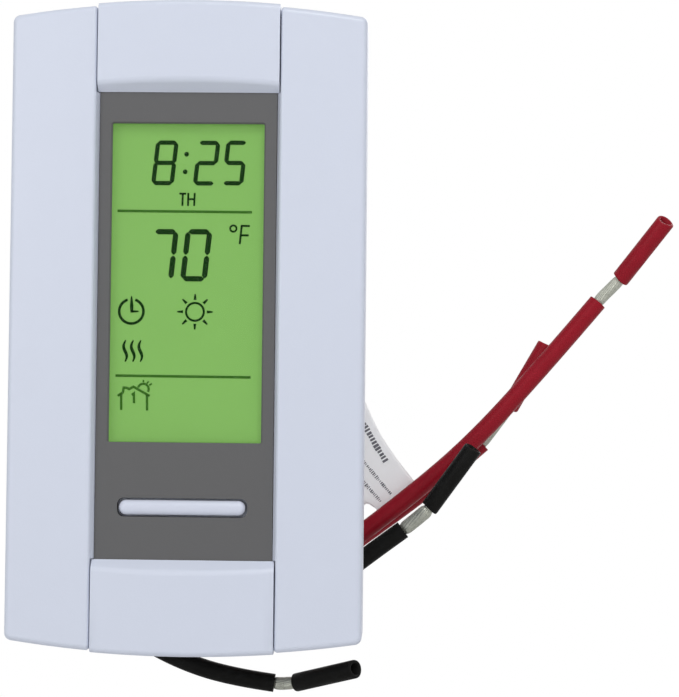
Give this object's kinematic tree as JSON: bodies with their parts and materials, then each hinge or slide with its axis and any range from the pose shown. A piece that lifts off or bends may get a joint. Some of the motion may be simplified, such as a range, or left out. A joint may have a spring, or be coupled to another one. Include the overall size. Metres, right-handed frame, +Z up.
{
  "type": "wall thermostat",
  "caption": "Slim wall thermostat with a bowed white case, tall green display, bar key, hinged lower door and stripped supply and load leads.",
  "frame": {"origin": "on the wall plane, halfway between the two mounting screws", "axes": "+Z up along the long side, -Y out of the wall towards the room, +X to the right as the display is read"},
  "size_m": [0.1346, 0.0418, 0.1388],
  "materials": {
    "white_plastic": "fine matt moulding",
    "base_plastic": "matt moulding",
    "panel_plastic": "matt grey",
    "lens_clear": "clear",
    "display_glass": "green transflective display",
    "light_guide": "frosted acrylic",
    "led_body": "moulded emitters",
    "elastomer": "matt silicone",
    "key_rubber": "matt silicone",
    "board_laminate": "solder mask",
    "chip_resin": "moulded resin",
    "tinned_steel": "plated",
    "sensor_resin": "dipped resin",
    "pin_brass": "plated pins",
    "switch_plastic": "black moulding",
    "plunger_plastic": "light moulding",
    "relay_plastic": "glossy black moulding",
    "transformer_core": "laminated core and taped winding",
    "film_plastic": "potted box",
    "varistor_resin": "dipped resin",
    "bushing_nylon": "black nylon",
    "insulation_red": "satin insulation",
    "insulation_black": "satin insulation",
    "tinned_strands": "twisted tinned copper",
    "tag_paper": "coated paper"
  },
  "bodies": {
    "wall_base": {"power_base": "base_plastic", "base_cover": "base_plastic", "base_cover_screws": "tinned_steel", "power_board": "board_laminate", "power_board_screws": "tinned_steel", "load_relays": "relay_plastic", "transformer": "transformer_core", "film_capacitor": "film_plastic", "surge_varistor": "varistor_resin", "board_socket": "switch_plastic", "lead_bushings": "bushing_nylon", "lead_tails": "insulation_black", "captive_screw": "tinned_steel", "wire_tag": "tag_paper", "lead_red_front": "insulation_red", "strands_red_front": "tinned_strands", "sleeve_red_front": "insulation_red", "lead_red_rear": "insulation_red", "strands_red_rear": "tinned_strands", "sleeve_red_rear": "insulation_red", "lead_black_side": "insulation_black", "strands_black_side": "tinned_strands", "sleeve_black_side": "insulation_black", "lead_black_lower": "insulation_black", "strands_black_lower": "tinned_strands", "sleeve_black_lower": "insulation_black"},
    "control_module": {"front_housing": "white_plastic", "top_trim": "white_plastic", "display_bezel": "panel_plastic", "display_lens": "lens_clear", "lcd_panel": "display_glass", "backlight_guide": "light_guide", "backlight_leds": "led_body", "contact_strips": "elastomer", "control_board": "board_laminate", "microcontroller": "chip_resin", "backup_capacitor": "tinned_steel", "clock_crystal": "tinned_steel", "room_sensor": "sensor_resin", "header_pins": "pin_brass", "bar_switch": "switch_plastic", "keypad_mat": "elastomer", "module_back": "base_plastic", "module_screws": "tinned_steel"},
    "door": {"access_door": "white_plastic"},
    "bar": {"bar_key": "white_plastic", "bar_switch_plunger": "plunger_plastic"},
    "key_mode": {"key_mode": "key_rubber"},
    "key_day": {"key_day": "key_rubber"},
    "key_up": {"key_up": "key_rubber"},
    "key_hour": {"key_hour": "key_rubber"},
    "key_minute": {"key_minute": "key_rubber"},
    "key_down": {"key_down": "key_rubber"}
  },
  "joints": [
    {"name": "module_tilt", "type": "hinge", "parent": "wall_base", "child": "control_module", "pos_m": [0, -0.0093, 0.0636], "axis": [-1, 0, 0], "range_deg": [0, 20]},
    {"name": "door_hinge", "type": "hinge", "parent": "control_module", "child": "door", "pos_m": [0, -0.0208, -0.0612], "axis": [1, 0, 0], "range_deg": [0, 105]},
    {"name": "bar_press", "type": "slide", "parent": "control_module", "child": "bar", "axis": [0, 1, 0], "range_m": [0, 0.0005], "stiffness_N_per_m": 1500},
    {"name": "key_mode_press", "type": "slide", "parent": "control_module", "child": "key_mode", "axis": [0, 1, 0], "range_m": [0, 0.0006], "stiffness_N_per_m": 1000},
    {"name": "key_day_press", "type": "slide", "parent": "control_module", "child": "key_day", "axis": [0, 1, 0], "range_m": [0, 0.0006], "stiffness_N_per_m": 1000},
    {"name": "key_up_press", "type": "slide", "parent": "control_module", "child": "key_up", "axis": [0, 1, 0], "range_m": [0, 0.0006], "stiffness_N_per_m": 1000},
    {"name": "key_hour_press", "type": "slide", "parent": "control_module", "child": "key_hour", "axis": [0, 1, 0], "range_m": [0, 0.0006], "stiffness_N_per_m": 1000},
    {"name": "key_minute_press", "type": "slide", "parent": "control_module", "child": "key_minute", "axis": [0, 1, 0], "range_m": [0, 0.0006], "stiffness_N_per_m": 1000},
    {"name": "key_down_press", "type": "slide", "parent": "control_module", "child": "key_down", "axis": [0, 1, 0], "range_m": [0, 0.0006], "stiffness_N_per_m": 1000}
  ]
}
